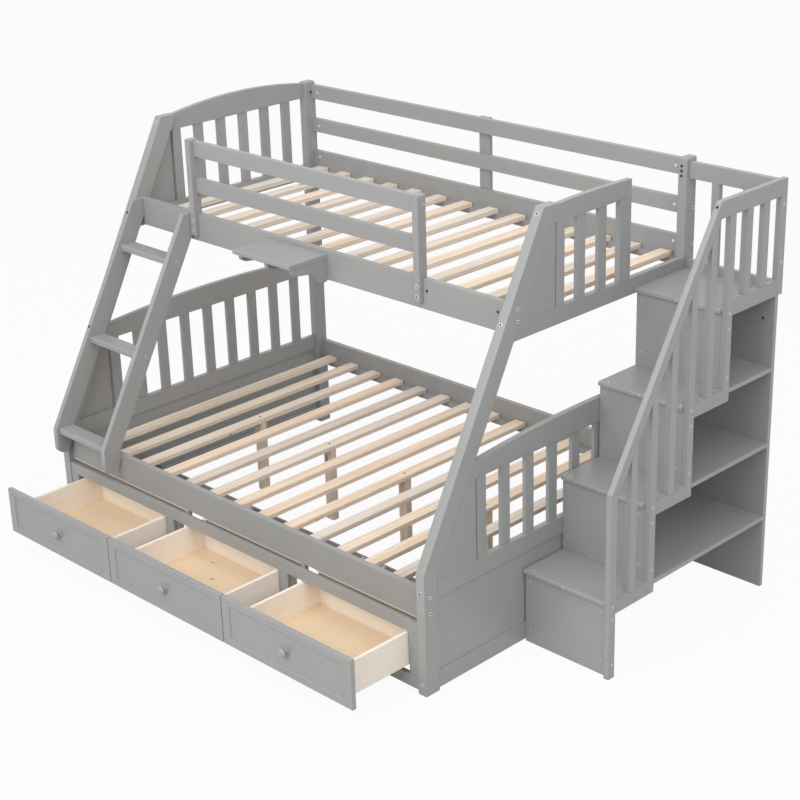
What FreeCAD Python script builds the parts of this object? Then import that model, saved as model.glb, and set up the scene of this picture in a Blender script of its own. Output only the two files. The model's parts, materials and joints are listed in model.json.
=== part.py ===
import FreeCAD, Part
import os

os.makedirs("parts", exist_ok=True)

# Frame: +X along the bed towards the stairs, +Y from the front to the wall side, +Z up.
# The sizes below run from the head end's outer face, the front face of the legs and the floor.
# The last step moves everything so that the origin is the middle of the overall box, on the
# floor, with the drawers standing open. Millimetres.

# Overall sizes
BED_L = 2025.0            # outer face to outer face of the two ends
BED_D = 1418.0            # front of the legs to the back of the back posts
STAIR_W = 378.0           # stair width past the foot end, railing included
RISE = 290.0              # tread to tread
GOING = 197.0             # riser to riser
STAIR_Y = 500.0           # face of the first riser

# Ends of the bed
LEG_T = 38.0              # leg and post thickness along X
LEG_W = 66.0              # upright part of a front leg, along Y
KNEE_Z = 453.0            # where the front edge starts to lean back
LEAN = 0.535              # how far the leg leans back per unit of height
LEAN_W = 78.0             # leaning part, measured level along Y
LEG_TOP = 1560.0
LEG_ROUND = 6.0
POST_W = 57.0             # back post along Y
POST_TOP = 1564.0
POST_ROUND = 9.0
RAIL_T = 22.0             # boards of the ends, side rails and guards
SLAT_T = 14.0             # upright slats of the ends
SLAT_IN = 4.0             # slats set back from the outer face
PANEL_T = 12.0
PANEL_IN = 5.0
GROOVE = 4.0              # gap between the corner panel and its stile
FLOOR_GAP = 12.0
BOTTOM_RAIL_H = 66.0
MID_RAIL_Z = 352.0
MID_RAIL_H = 66.0
LOW_TOP_Z = 715.0         # straight lower edge of the lower arched rail
HIGH_TOP_Z = 1494.0       # straight lower edge of the upper arched rail
ARCH_END_H = 63.0
ARCH_RISE = 29.0
FOOT_ARCH_RISE = 4.0      # the upper foot panel is too short for the full arch
FOOT_ARCH_ROUND = 30.0
UP_RAIL_Z = 1140.0
UP_RAIL_H = 62.0
LOW_STILE_Y = 258.0
LOW_STILE_W = 46.0
LOW_SLATS = 8
UP_STILE_Y = 656.0
UP_STILE_W = 42.0
UP_SLATS = 5
FOOT_UP_SLATS = 2
END_SLAT_W = 44.0
END_STILE_Y = 990.0       # last stile of the short upper foot panel
END_STILE_W = 60.0

# Side rails, slats and supports
SIDE_H = 110.0
LOW_SIDE_Z = 281.0
UP_SIDE_Z = 1155.0
LOW_SIDE_Y = 18.0         # front face of the lower front rail
UP_SIDE_OFF = 21.0        # upper front rail behind the leaning edge at its top
SLAT_DROP = 62.0          # slat tops below the rail tops
BED_SLATS = 14
BED_SLAT_W = 52.0
BED_SLAT_T = 18.0
BED_SLAT_PITCH = 140.0
SLAT_GAP = 4.0
CLEAT_W = 20.0
CLEAT_H = 25.0
MID_LEG_X = 40.0
MID_LEG_Y = 30.0
MID_LEG_SLATS = (2, 5, 8, 11)

# Guards of the upper bed
GUARD_TOP = 1549.0
GUARD_H = 60.0
GUARD_MID = 1347.0
GUARD_MID_H = 58.0
GUARD_POST_X = (376.0, 1578.0)
GUARD_POST_W = 28.0
GUARD_POST_PROUD = 18.0
GUARD_POST_TOP = 1557.0
GUARD_POST_LOW = 1178.0
GUARD_POST_ROUND = 8.0
SPACER_W = 53.0
SPACER_T = 18.0

# Ladder
LADDER_W = 336.0
STILE_T = 22.0
STILE_DEPTH = 88.0        # measured level along Y
STILE_TOP_PROUD = 48.0    # front edge before the upper rail at its top
STILE_LOW_PROUD = 100.0   # front edge before the lower rail at its top
STILE_FOOT_Z = 326.0
STILE_BEND_Z = 430.0
STILE_FLAT_Z = 375.0
STILE_ROUND = 30.0        # front of the foot
STILE_HEEL = 30.0         # slant at the back of the foot
HEEL_ROUND = 12.0
RUNG_TOPS = (432.0, 766.0, 1100.0)
RUNG_T = 22.0
RUNG_DEPTH = 68.0
RUNG_IN = 12.0
RUNG_ROUND = 5.0

# Bedside shelf
SHELF_X = 821.0
SHELF_LEN = 308.0
SHELF_DEPTH = 182.0
SHELF_T = 18.0
SHELF_TOP = 1252.0
SHELF_ROUND = 4.0
BRACKET_T = 20.0
BRACKET_H = 82.0
BRACKET_DEPTH = 150.0
BRACKET_IN = 16.0
BRACKETS = 3

# Drawer case and drawers
CASE_Y = 4.0              # front face of the case frame
CASE_T = 18.0
CASE_TOP = 265.0
CASE_RAIL_H = 44.0
CASE_FOOT_H = 46.0
CASE_DEPTH = 420.0        # front of the legs to the back rail of the case
CASE_BACK_T = 9.0
CASE_STILE_W = 45.0
CASE_BLOCK_W = 20.0       # block that ties the case to the bed's side rail
CASE_BLOCK_X = 56.0       # from the stile beside it
DRAWERS = 3
FRONT_GAP = 4.0
FRONT_T = 18.0
FRONT_LOW = 71.0
FRONT_TOP = 257.0
FRONT_RIM_X = 38.0
FRONT_RIM_Z = 28.0
FRONT_SUNK = 5.0
STILE_IN = 39.0           # case stile in from the right end of a drawer front
BOX_IN_LEFT = 76.0        # box side in from the left end of a drawer front
BOX_IN_RIGHT = 43.0
BOX_LOW = 92.0
BOX_TOP = 217.0
BOX_T = 13.0
BOX_DEPTH = 370.0
BOX_FLOOR_T = 6.0
BOX_FLOOR_IN = 8.0
PULL = 284.0              # how far the drawers stand open
SLIDE_GAP = 0.3
RUNNER_T = 20.0           # ledge under a drawer box, and the guide strip on it
GUIDE_T = 12.0
GUIDE_GAP = 1.0
KNOB_R = 17.0
KNOB_OUT = 27.0
KNOB_NECK = 14.0
KNOB_NECK_R = 7.5
KNOB_FOOT_R = 11.0
KNOB_ROUND = 7.0

# Stairs
TREAD_T = 17.0
NOSE = 12.0
NOSE_ROUND = 5.0
RISER_T = 17.0
RISER_GAP = 4.0
STEPS = 4
RAILING_T = 22.0
BALUSTER_W = 32.0
NEWEL_TOP = 685.0
NEWEL_PROUD = 10.0
HAND_W = 44.0             # handrail width, measured level
HAND_TOP_Y = 1035.0       # front corner of the handrail at its top
STEP_RAIL_H = 50.0
STEP_RAIL_DROP = 47.0     # lower edge of a step's rail below the tread top
DECK_RAIL_DROP = 26.0     # lower edge of the deck's rail below the top tread
DECK_RAIL_H = 56.0
DECK_BALUSTERS = 2        # on each of the deck's two open sides
CORNER_W = 35.0
BACK_PANEL_T = 18.0

# Bolt heads
WOOD_BOLT_R = 6.5
SMALL_BOLT_R = 4.5
BOLT_H = 2.0
BOLT_TAPER = 0.8          # outer face of a head as a share of its foot
SIDE_BOLT_IN = 25.0       # bolts of the side rails, in from the rail's edges
LEG_BOLT_LOW = 50.0       # bolts of the upper front rail in the leaning legs
LEG_BOLT_HIGH = 92.0
GUARD_BOLT_LOW = 45.0     # bolts of the guard posts, above the rail's lower edge
GUARD_BOLT_HIGH = 82.0
RISER_BOLT_IN = 22.0
RISER_BOLT_DROP = 26.0    # below the underside of the tread
RISER_BOLT_LOW = 220.0
NEWEL_BOLT_Z = 52.0
POST_BOLT_UP = 90.0       # above the step's rail
POST_BOLT_PITCH = 175.0
CORNER_BOLT_UP = 120.0
CORNER_BOLT_DROP = 30.0


def front_edge(z):
    return (z - KNEE_Z) * LEAN


def rear_edge(z):
    return front_edge(z) + LEAN_W


def box(x0, x1, y0, y1, z0, z1):
    return Part.makeBox(x1 - x0, y1 - y0, z1 - z0, FreeCAD.Vector(x0, y0, z0))


def plate(points, x0, x1):
    # outline in the YZ plane, given thickness along X
    ring = [FreeCAD.Vector(x0, y, z) for y, z in points]
    ring.append(ring[0])
    face = Part.Face(Part.makePolygon(ring))
    return face.extrude(FreeCAD.Vector(x1 - x0, 0, 0))


def soften(shape, radius, pick):
    edges = [e for e in shape.Edges if pick(e)]
    return shape.makeFillet(radius, edges)


def along(edge, axis):
    d = edge.tangentAt(edge.FirstParameter)
    return abs(abs(getattr(d, axis)) - 1.0) < 1e-6


def centre(edge):
    return edge.CenterOfMass


def spread(start, end, count, width):
    # left edges of evenly spaced pieces between two boundaries
    gap = (end - start - count * width) / (count + 1)
    return [start + gap + i * (gap + width) for i in range(count)]


class End:
    """One end of the bed: distances run inward from its outer face."""

    def __init__(self, outer, inward):
        self.outer = outer
        self.inward = inward

    def span(self, t0, t1):
        a = self.outer + self.inward * t0
        b = self.outer + self.inward * t1
        return min(a, b), max(a, b)

    def board(self, t0, t1, y0, y1, z0, z1):
        x0, x1 = self.span(t0, t1)
        return box(x0, x1, y0, y1, z0, z1)

    def cut_out(self, t0, t1, points):
        x0, x1 = self.span(t0, t1)
        return plate(points, x0, x1)

    def arched(self, z_low, y1, rise):
        # straight below, arched above, left end cut along the leaning leg
        x0, x1 = self.span(0.0, RAIL_T)
        z_end = z_low + ARCH_END_H
        a = FreeCAD.Vector(x0, rear_edge(z_low), z_low)
        b = FreeCAD.Vector(x0, y1, z_low)
        c = FreeCAD.Vector(x0, y1, z_end)
        d = FreeCAD.Vector(x0, rear_edge(z_end), z_end)
        top = FreeCAD.Vector(x0, (c.y + d.y) / 2, z_end + rise)
        arc = Part.Arc(c, top, d).toShape()
        wire = Part.Wire([Part.makeLine(a, b), Part.makeLine(b, c), arc, Part.makeLine(d, a)])
        return Part.Face(wire).extrude(FreeCAD.Vector(x1 - x0, 0, 0))


def front_leg(end):
    knee_rear = KNEE_Z + (LEG_W - LEAN_W) / LEAN
    points = [
        (0.0, 0.0),
        (LEG_W, 0.0),
        (LEG_W, knee_rear),
        (rear_edge(LEG_TOP), LEG_TOP),
        (front_edge(LEG_TOP), LEG_TOP),
        (0.0, KNEE_Z),
    ]
    leg = end.cut_out(0.0, LEG_T, points)
    return soften(leg, LEG_ROUND, lambda e: along(e, "x") and centre(e).z > LEG_TOP - 1.0)


def back_post(end):
    post = end.board(0.0, LEG_T, BED_D - POST_W, BED_D, 0.0, POST_TOP)
    return soften(post, POST_ROUND, lambda e: centre(e).z > POST_TOP - 1.0)


def lower_rails(end):
    y1 = BED_D - POST_W
    bottom = end.board(0.0, RAIL_T, LEG_W, y1, FLOOR_GAP, FLOOR_GAP + BOTTOM_RAIL_H)
    middle = end.board(0.0, RAIL_T, LEG_W, y1, MID_RAIL_Z, MID_RAIL_Z + MID_RAIL_H)
    return [bottom, middle]


def lower_panel(end):
    z0 = FLOOR_GAP + BOTTOM_RAIL_H
    return end.board(PANEL_IN, PANEL_IN + PANEL_T, LEG_W, BED_D - POST_W, z0, MID_RAIL_Z)


def corner_panels(end):
    z0 = MID_RAIL_Z + MID_RAIL_H
    knee_rear = KNEE_Z + (LEG_W - LEAN_W) / LEAN
    y1 = LOW_STILE_Y - GROOVE
    low = [
        (LEG_W, z0),
        (y1, z0),
        (y1, LOW_TOP_Z),
        (rear_edge(LOW_TOP_Z), LOW_TOP_Z),
        (LEG_W, knee_rear),
    ]
    z1 = UP_RAIL_Z + UP_RAIL_H
    y2 = UP_STILE_Y - GROOVE
    high = [
        (rear_edge(z1), z1),
        (y2, z1),
        (y2, HIGH_TOP_Z),
        (rear_edge(HIGH_TOP_Z), HIGH_TOP_Z),
    ]
    return [end.cut_out(0.0, PANEL_T, low), end.cut_out(0.0, PANEL_T, high)]


def uprights(end, stile_y, stile_w, count, y1, z0, z1):
    stile = end.board(0.0, RAIL_T, stile_y, stile_y + stile_w, z0, z1)
    pieces = [stile]
    for y in spread(stile_y + stile_w, y1, count, END_SLAT_W):
        pieces.append(end.board(SLAT_IN, SLAT_IN + SLAT_T, y, y + END_SLAT_W, z0, z1))
    return pieces


def lower_slats(end):
    z0 = MID_RAIL_Z + MID_RAIL_H
    return uprights(end, LOW_STILE_Y, LOW_STILE_W, LOW_SLATS, BED_D - POST_W, z0, LOW_TOP_Z)


def upper_bottom_rail(end):
    x0, x1 = end.span(0.0, RAIL_T)
    z1 = UP_RAIL_Z + UP_RAIL_H
    points = [
        (rear_edge(UP_RAIL_Z), UP_RAIL_Z),
        (BED_D - POST_W, UP_RAIL_Z),
        (BED_D - POST_W, z1),
        (rear_edge(z1), z1),
    ]
    return plate(points, x0, x1)


nodes = {}

HEAD = End(0.0, 1.0)
FOOT = End(BED_L, -1.0)
z_up = UP_RAIL_Z + UP_RAIL_H

for name, end in (("head", HEAD), ("foot", FOOT)):
    nodes[name + "_front_leg"] = [front_leg(end)]
    nodes[name + "_back_post"] = [back_post(end)]
    nodes[name + "_low_rails"] = lower_rails(end)
    nodes[name + "_low_panel"] = [lower_panel(end)]
    nodes[name + "_low_arch"] = [end.arched(LOW_TOP_Z, BED_D - POST_W, ARCH_RISE)]
    nodes[name + "_low_slats"] = lower_slats(end)
    nodes[name + "_corner_panels"] = corner_panels(end)

head_arch = HEAD.arched(HIGH_TOP_Z, BED_D - POST_W, ARCH_RISE)
nodes["head_high_rails"] = [head_arch, upper_bottom_rail(HEAD)]
nodes["head_high_slats"] = uprights(
    HEAD, UP_STILE_Y, UP_STILE_W, UP_SLATS, BED_D - POST_W, z_up, HIGH_TOP_Z)

# the upper foot panel stops short of the post, so the stairs lead into the bed
foot_end_y = END_STILE_Y + END_STILE_W
foot_arch = FOOT.arched(HIGH_TOP_Z, foot_end_y, FOOT_ARCH_RISE)
foot_arch = soften(
    foot_arch, FOOT_ARCH_ROUND,
    lambda e: along(e, "x") and centre(e).y > foot_end_y - 1.0 and centre(e).z > HIGH_TOP_Z + 1.0)
nodes["foot_high_rails"] = [foot_arch, upper_bottom_rail(FOOT)]
foot_uprights = uprights(FOOT, UP_STILE_Y, UP_STILE_W, FOOT_UP_SLATS, END_STILE_Y, z_up, HIGH_TOP_Z)
foot_uprights.append(FOOT.board(0.0, RAIL_T, END_STILE_Y, foot_end_y, z_up, HIGH_TOP_Z))
nodes["foot_high_slats"] = foot_uprights

# Side rails with their cleats, slats and centre legs
x_in0 = LEG_T
x_in1 = BED_L - LEG_T
up_side_y = front_edge(UP_SIDE_Z + SIDE_H) + UP_SIDE_OFF
back_y = BED_D - RAIL_T


def side_rail(y0, z0):
    return box(x_in0, x_in1, y0, y0 + RAIL_T, z0, z0 + SIDE_H)


def cleat(y0, z_slat):
    return box(x_in0, x_in1, y0, y0 + CLEAT_W, z_slat - CLEAT_H, z_slat)


def slat_row(y0, y1, z0):
    first = BED_L / 2 - (BED_SLATS - 1) * BED_SLAT_PITCH / 2
    row = []
    for i in range(BED_SLATS):
        x = first + i * BED_SLAT_PITCH
        row.append(box(x - BED_SLAT_W / 2, x + BED_SLAT_W / 2, y0, y1, z0, z0 + BED_SLAT_T))
    return row


low_slat_z = LOW_SIDE_Z + SIDE_H - SLAT_DROP - BED_SLAT_T
up_slat_z = UP_SIDE_Z + SIDE_H - SLAT_DROP - BED_SLAT_T
low_in = LOW_SIDE_Y + RAIL_T
up_in = up_side_y + RAIL_T

nodes["low_front_rail"] = [side_rail(LOW_SIDE_Y, LOW_SIDE_Z)]
nodes["low_back_rail"] = [side_rail(back_y, LOW_SIDE_Z)]
nodes["low_cleats"] = [cleat(low_in, low_slat_z), cleat(back_y - CLEAT_W, low_slat_z)]
nodes["low_bed_slats"] = slat_row(low_in + SLAT_GAP, back_y - SLAT_GAP, low_slat_z)
nodes["high_front_rail"] = [side_rail(up_side_y, UP_SIDE_Z)]
nodes["high_back_rail"] = [side_rail(back_y, UP_SIDE_Z)]
nodes["high_cleats"] = [cleat(up_in, up_slat_z), cleat(back_y - CLEAT_W, up_slat_z)]
nodes["high_bed_slats"] = slat_row(up_in + SLAT_GAP, back_y - SLAT_GAP, up_slat_z)

slat_first = BED_L / 2 - (BED_SLATS - 1) * BED_SLAT_PITCH / 2
bed_mid_y = (low_in + back_y) / 2
nodes["centre_legs"] = []
for i in MID_LEG_SLATS:
    x = slat_first + i * BED_SLAT_PITCH
    nodes["centre_legs"].append(
        box(x - MID_LEG_X / 2, x + MID_LEG_X / 2,
            bed_mid_y - MID_LEG_Y / 2, bed_mid_y + MID_LEG_Y / 2, 0.0, low_slat_z))

# Guards of the upper bed
guard_z = GUARD_TOP - GUARD_H
nodes["back_guard"] = [
    box(x_in0, x_in1, back_y, BED_D, guard_z, GUARD_TOP),
    box(x_in0, x_in1, back_y, BED_D, GUARD_MID, GUARD_MID + GUARD_MID_H),
]
nodes["back_spacer"] = [
    box(BED_L / 2 - SPACER_W / 2, BED_L / 2 + SPACER_W / 2,
        BED_D, BED_D + SPACER_T, UP_SIDE_Z, GUARD_TOP)
]
side_top = UP_SIDE_Z + SIDE_H
guard_posts = []
for x in GUARD_POST_X:
    low = box(x, x + GUARD_POST_W, up_side_y - GUARD_POST_PROUD, up_side_y,
              GUARD_POST_LOW, GUARD_POST_TOP)
    high = box(x, x + GUARD_POST_W, up_side_y, up_side_y + RAIL_T, side_top, GUARD_POST_TOP)
    post = low.fuse(high).removeSplitter()
    guard_posts.append(
        soften(post, GUARD_POST_ROUND,
               lambda e: along(e, "y") and centre(e).z > GUARD_POST_TOP - 1.0))
nodes["front_guard_posts"] = guard_posts
guard_x0 = GUARD_POST_X[0] + GUARD_POST_W
guard_x1 = GUARD_POST_X[1]
nodes["front_guard_rails"] = [
    box(guard_x0, guard_x1, up_side_y, up_side_y + RAIL_T, guard_z, GUARD_TOP),
    box(guard_x0, guard_x1, up_side_y, up_side_y + RAIL_T, GUARD_MID, GUARD_MID + GUARD_MID_H),
]

# Ladder: two leaning stiles and three flat rungs
low_top = LOW_SIDE_Z + SIDE_H
slope = (up_side_y - STILE_TOP_PROUD - LOW_SIDE_Y + STILE_LOW_PROUD) / (side_top - low_top)


def stile_front(z):
    return LOW_SIDE_Y - STILE_LOW_PROUD + (z - low_top) * slope


def stile(x0):
    z_flat = low_top + (STILE_LOW_PROUD - STILE_DEPTH) / slope
    z_back = side_top - (STILE_DEPTH - STILE_TOP_PROUD) / slope
    y_foot = stile_front(STILE_BEND_Z)
    points = [
        (y_foot, STILE_FOOT_Z),
        (LOW_SIDE_Y - STILE_HEEL, STILE_FOOT_Z),
        (LOW_SIDE_Y, STILE_FLAT_Z),
        (LOW_SIDE_Y, z_flat),
        (up_side_y, z_back),
        (up_side_y, side_top),
        (stile_front(side_top), side_top),
        (y_foot, STILE_BEND_Z),
    ]
    shape = plate(points, x0, x0 + STILE_T)
    shape = soften(
        shape, STILE_ROUND,
        lambda e: along(e, "x") and centre(e).z < STILE_FOOT_Z + 1.0 and centre(e).y < y_foot + 1.0)
    return soften(
        shape, HEEL_ROUND,
        lambda e: along(e, "x") and centre(e).z < STILE_FOOT_Z + 1.0
        and centre(e).y > LOW_SIDE_Y - STILE_HEEL - 1.0)


ladder_x0 = LEG_T
ladder_x1 = LEG_T + LADDER_W
nodes["ladder_stiles"] = [stile(ladder_x0), stile(ladder_x1 - STILE_T)]
nodes["ladder_rungs"] = []
for z in RUNG_TOPS:
    y0 = stile_front(z) + RUNG_IN
    rung = box(ladder_x0 + STILE_T, ladder_x1 - STILE_T, y0, y0 + RUNG_DEPTH, z - RUNG_T, z)
    rung = soften(rung, RUNG_ROUND, lambda e: along(e, "x") and centre(e).z > z - 1.0)
    nodes["ladder_rungs"].append(rung)

# Bedside shelf on the outside of the upper front rail
shelf = box(SHELF_X, SHELF_X + SHELF_LEN, up_side_y - SHELF_DEPTH, up_side_y,
            SHELF_TOP - SHELF_T, SHELF_TOP)
nodes["bedside_shelf"] = [
    soften(shelf, SHELF_ROUND,
           lambda e: along(e, "x") and centre(e).y < up_side_y - SHELF_DEPTH + 1.0)
]


# ogee outline of a bracket: share of its depth before the rail, share of its height
BRACKET_HEEL = (0.16, 0.0)
BRACKET_HOLLOW = (0.42, 0.14)
BRACKET_TURN = (0.5, 0.5)
BRACKET_SWELL = (0.62, 0.78)
BRACKET_TIP = (1.0, 0.84)


def bracket(x0):
    # hollow near the rail, full near the tip
    z1 = SHELF_TOP - SHELF_T

    def at(place):
        depth, height = place
        return FreeCAD.Vector(x0, up_side_y - BRACKET_DEPTH * depth, z1 - BRACKET_H * (1.0 - height))

    corner = at((0.0, 1.0))
    foot = at((0.0, 0.0))
    nose = at((1.0, 1.0))
    wire = Part.Wire([
        Part.makeLine(corner, foot),
        Part.makeLine(foot, at(BRACKET_HEEL)),
        Part.Arc(at(BRACKET_HEEL), at(BRACKET_HOLLOW), at(BRACKET_TURN)).toShape(),
        Part.Arc(at(BRACKET_TURN), at(BRACKET_SWELL), at(BRACKET_TIP)).toShape(),
        Part.makeLine(at(BRACKET_TIP), nose),
        Part.makeLine(nose, corner),
    ])
    return Part.Face(wire).extrude(FreeCAD.Vector(BRACKET_T, 0, 0))


bracket_x0 = SHELF_X + BRACKET_IN
bracket_step = (SHELF_LEN - 2 * BRACKET_IN - BRACKET_T) / (BRACKETS - 1)
nodes["shelf_brackets"] = [bracket(bracket_x0 + i * bracket_step) for i in range(BRACKETS)]

# Drawer case: face frame, upright panels and runners
front_w = (x_in1 - x_in0 - FRONT_GAP * (DRAWERS + 1)) / DRAWERS
front_xs = [x_in0 + FRONT_GAP + i * (front_w + FRONT_GAP) for i in range(DRAWERS)]
case_back = CASE_Y + CASE_T
rail_z = CASE_TOP - CASE_RAIL_H
stile_xs = [x + front_w - STILE_IN for x in front_xs]
case_frame = [
    box(x_in0, x_in1, CASE_Y, case_back, rail_z, CASE_TOP),
    box(x_in0, x_in1, CASE_Y, case_back, FLOOR_GAP, FLOOR_GAP + CASE_FOOT_H),
]
for x in [x_in0] + stile_xs:
    x1 = min(x + CASE_STILE_W, x_in1)
    case_frame.append(box(x, x1, CASE_Y, case_back, FLOOR_GAP + CASE_FOOT_H, rail_z))
for x in stile_xs[:-1]:
    x0 = x + CASE_STILE_W + CASE_BLOCK_X
    case_frame.append(
        box(x0, x0 + CASE_BLOCK_W, case_back, LOW_SIDE_Y + RAIL_T, rail_z, LOW_SIDE_Z))
nodes["case_frame"] = case_frame

# the low runner boards stand beside the drawer boxes and meet the back rail
ledge_z = BOX_LOW - SLIDE_GAP - RUNNER_T
guide_z = ledge_z + RUNNER_T
case_side_top = guide_z + RUNNER_T
panels = []
runners = []
for x in front_xs:
    xa = x + BOX_IN_LEFT
    xb = x + front_w - BOX_IN_RIGHT
    for edge, out in ((xa, -1.0), (xb, 1.0)):
        guide = edge + out * GUIDE_GAP
        board = guide + out * GUIDE_T
        for inner, outer, z0, z1 in (
                (edge - out * BOX_T, board, ledge_z, guide_z),
                (guide, board, guide_z, case_side_top)):
            runners.append(box(min(inner, outer), max(inner, outer), case_back, CASE_DEPTH, z0, z1))
        far = board + out * CASE_T
        panels.append(
            box(min(board, far), max(board, far), case_back, CASE_DEPTH, 0.0, case_side_top))
nodes["case_panels"] = panels
nodes["case_runners"] = runners
nodes["case_back"] = [
    box(x_in0, x_in1, CASE_DEPTH, CASE_DEPTH + CASE_BACK_T, 0.0, case_side_top)
]


def knob(x, y, z):
    # mushroom knob on a flared neck, along -Y
    out = FreeCAD.Vector(0, -1, 0)
    neck = Part.makeCone(KNOB_FOOT_R, KNOB_NECK_R, KNOB_NECK, FreeCAD.Vector(x, y, z), out)
    head = Part.makeCylinder(KNOB_R, KNOB_OUT - KNOB_NECK, FreeCAD.Vector(x, y - KNOB_NECK, z), out)
    head = head.makeFillet(KNOB_ROUND, head.Edges[0:1])
    return neck.fuse(head).removeSplitter()


# Drawers, standing open by PULL
front_y1 = CASE_Y - PULL
front_y0 = front_y1 - FRONT_T
for i, x in enumerate(front_xs):
    front = box(x, x + front_w, front_y0, front_y1, FRONT_LOW, FRONT_TOP)
    sunk = box(x + FRONT_RIM_X, x + front_w - FRONT_RIM_X, front_y0, front_y0 + FRONT_SUNK,
               FRONT_LOW + FRONT_RIM_Z, FRONT_TOP - FRONT_RIM_Z)
    nodes["drawer%d_front" % (i + 1)] = [front.cut(sunk)]
    xa = x + BOX_IN_LEFT
    xb = x + front_w - BOX_IN_RIGHT
    yb = front_y1 + BOX_DEPTH
    nodes["drawer%d_box" % (i + 1)] = [
        box(xa, xa + BOX_T, front_y1, yb, BOX_LOW, BOX_TOP),
        box(xb - BOX_T, xb, front_y1, yb, BOX_LOW, BOX_TOP),
        box(xa + BOX_T, xb - BOX_T, yb - BOX_T, yb, BOX_LOW, BOX_TOP),
        box(xa + BOX_T, xb - BOX_T, front_y1, yb - BOX_T,
            BOX_LOW + BOX_FLOOR_IN, BOX_LOW + BOX_FLOOR_IN + BOX_FLOOR_T),
    ]
    knob_z = (FRONT_LOW + FRONT_TOP) / 2
    nodes["drawer%d_knob" % (i + 1)] = [knob(x + front_w / 2, front_y0 + FRONT_SUNK, knob_z)]

# Stairs: treads run back as shelves, risers stand on them
x_st0 = BED_L
x_st1 = BED_L + STAIR_W
x_rail = x_st1 - RAILING_T
rear_y1 = BED_D - RAIL_T            # back face of the rear guard and back panel
rear_y0 = rear_y1 - RAIL_T
panel_y = rear_y1 - BACK_PANEL_T
deck_rail_z = STEPS * RISE - DECK_RAIL_DROP
riser_ys = [STAIR_Y + i * GOING for i in range(STEPS)]
treads = []
risers = []
for i, y in enumerate(riser_ys):
    top = (i + 1) * RISE
    z0 = top - TREAD_T
    last = i == STEPS - 1
    y_back = rear_y0 if last else panel_y
    tread = box(x_st0, x_rail, y - NOSE, y_back, z0, top)
    tread = soften(
        tread, NOSE_ROUND,
        lambda e: along(e, "x") and centre(e).y < y - NOSE + 1.0)
    if not last:
        wing = box(x_rail, x_st1, riser_ys[i + 1] + BALUSTER_W, y_back, z0, top)
        tread = tread.fuse(wing).removeSplitter()
    treads.append(tread)
    low = RISER_GAP if i == 0 else i * RISE
    risers.append(box(x_st0, x_rail, y, y + RISER_T, low, z0))
nodes["stair_treads"] = treads
nodes["stair_risers"] = risers
nodes["stair_back_panel"] = [box(x_st0, x_st1, panel_y, rear_y1, 0.0, deck_rail_z)]

# Railing on the open side of the stairs
newel_y = STAIR_Y - NEWEL_PROUD
hand_slope = (GUARD_TOP - NEWEL_TOP) / (HAND_TOP_Y - newel_y)


def hand_low(y):
    # underside of the handrail
    return NEWEL_TOP + (y - newel_y - HAND_W) * hand_slope


def upright(y0, y1, z0):
    return plate([(y0, z0), (y1, z0), (y1, hand_low(y1)), (y0, hand_low(y0))], x_rail, x_st1)


rail_lows = [(i + 1) * RISE - STEP_RAIL_DROP for i in range(STEPS - 1)]
railing_posts = [box(x_rail, x_st1, newel_y, newel_y + BALUSTER_W, 0.0, NEWEL_TOP)]
railing_rails = []
balusters = []
left = newel_y + BALUSTER_W
for i in range(STEPS - 1):
    y_post = riser_ys[i + 1]
    z0 = rail_lows[i]
    if i < STEPS - 2:
        railing_posts.append(upright(y_post, y_post + BALUSTER_W, z0))
    else:
        railing_posts.append(box(x_rail, x_st1, y_post, y_post + BALUSTER_W, z0, guard_z))
    railing_rails.append(box(x_rail, x_st1, left, y_post, z0, z0 + STEP_RAIL_H))
    mid = (left + y_post) / 2
    balusters.append(upright(mid - BALUSTER_W / 2, mid + BALUSTER_W / 2, z0 + STEP_RAIL_H))
    left = y_post + BALUSTER_W

corner_y = BED_D - CORNER_W
railing_posts.append(box(x_rail, x_st1, corner_y, BED_D, deck_rail_z, guard_z))
railing_rails.append(box(x_rail, x_st1, left, corner_y, deck_rail_z, deck_rail_z + DECK_RAIL_H))
for y in spread(left, corner_y, DECK_BALUSTERS, BALUSTER_W):
    balusters.append(box(x_rail, x_st1, y, y + BALUSTER_W, deck_rail_z + DECK_RAIL_H, guard_z))
nodes["railing_posts"] = railing_posts
nodes["railing_rails"] = railing_rails
nodes["railing_balusters"] = balusters

y_top = HAND_TOP_Y + HAND_W
hand = plate(
    [(newel_y, NEWEL_TOP), (newel_y + HAND_W, NEWEL_TOP), (y_top, GUARD_TOP), (HAND_TOP_Y, GUARD_TOP)],
    x_rail, x_st1)
nodes["handrail"] = [hand]
y_cut = y_top - GUARD_H / hand_slope
nodes["deck_top_rail"] = [
    plate([(y_cut, guard_z), (BED_D, guard_z), (BED_D, GUARD_TOP), (y_top, GUARD_TOP)], x_rail, x_st1)
]

nodes["rear_guard_rails"] = [
    box(x_st0, x_rail, rear_y0, rear_y1, guard_z, GUARD_TOP),
    box(x_st0, x_rail, rear_y0, rear_y1, deck_rail_z, deck_rail_z + DECK_RAIL_H),
]
nodes["rear_guard_balusters"] = []
for x in spread(x_st0, x_rail, DECK_BALUSTERS, BALUSTER_W):
    nodes["rear_guard_balusters"].append(
        box(x, x + BALUSTER_W, rear_y0, rear_y1, deck_rail_z + DECK_RAIL_H, guard_z))


def stud(x, y, z, axis, radius):
    # low bolt head standing on a face, pointing along axis
    return Part.makeCone(radius, radius * BOLT_TAPER, BOLT_H, FreeCAD.Vector(x, y, z), axis)


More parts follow.
